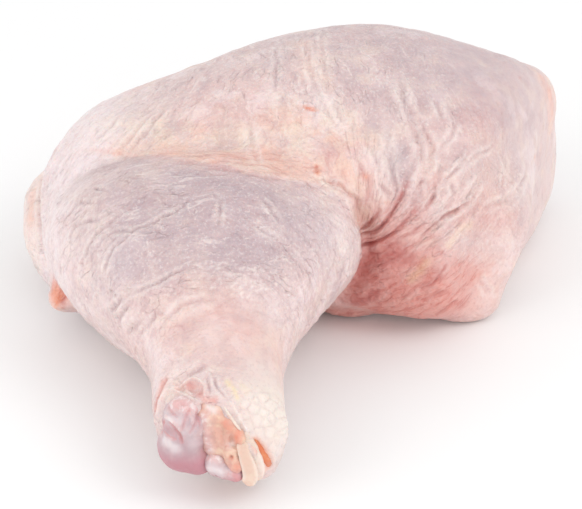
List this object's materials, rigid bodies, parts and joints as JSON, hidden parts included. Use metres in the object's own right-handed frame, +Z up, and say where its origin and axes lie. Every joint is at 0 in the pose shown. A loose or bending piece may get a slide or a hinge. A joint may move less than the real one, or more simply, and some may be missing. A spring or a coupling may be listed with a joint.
{
  "type": "raw chicken leg quarter",
  "caption": "Raw, skin-on chicken leg quarter: a broad thigh with the drumstick turned forward from the knee and a cut shank end showing cartilage.",
  "frame": {"origin": "on the surface the leg lies on, below the middle of its whole box", "axes": "+Z up; +Y from the shank end towards the back of the thigh, the longest way; +X along the thigh towards its hip end"},
  "size_m": [0.1191, 0.1345, 0.0518],
  "materials": {
    "skin": "thin moist raw skin over yellowish fat, pale lilac pink",
    "cartilage": "wet, smooth, pearly lilac white",
    "tendon": "wet cream peach strip"
  },
  "bodies": {
    "root": {"leg": "skin", "shank_cartilage": "cartilage", "cut_tendon": "tendon"}
  },
  "joints": []
}
